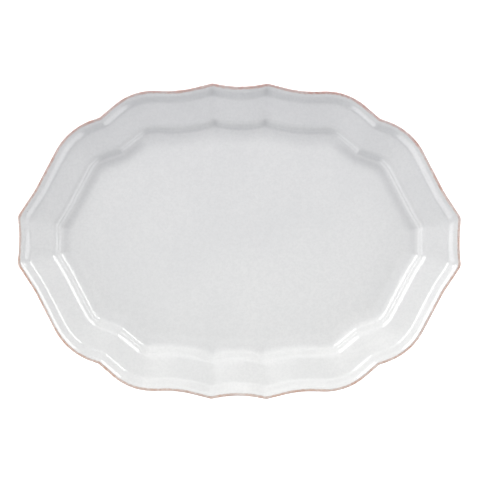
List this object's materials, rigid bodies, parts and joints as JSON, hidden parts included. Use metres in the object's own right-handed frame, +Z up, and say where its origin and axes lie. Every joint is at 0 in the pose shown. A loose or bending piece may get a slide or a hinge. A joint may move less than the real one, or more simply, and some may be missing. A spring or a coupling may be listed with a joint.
{
  "type": "oval serving platter",
  "caption": "Shallow oval serving platter with a scalloped, turned-up rim, a sloping flange, a flat well and a raised foot ring, glazed off-white with a terracotta edge line.",
  "frame": {"origin": "on the table surface, under the middle of the platter: the centre of the foot ring's flat underside", "axes": "+X along the length, +Y across the width, +Z up from the table through the open well"},
  "size_m": [0.4056, 0.289, 0.034],
  "materials": {
    "clay": "matte",
    "edge": "satin",
    "glaze": "gloss"
  },
  "bodies": {
    "root": {"clay_body": "clay", "foot_ring": "clay", "edge_band": "edge", "face_glaze": "glaze", "underside_glaze": "glaze", "recess_glaze": "glaze"}
  },
  "joints": []
}
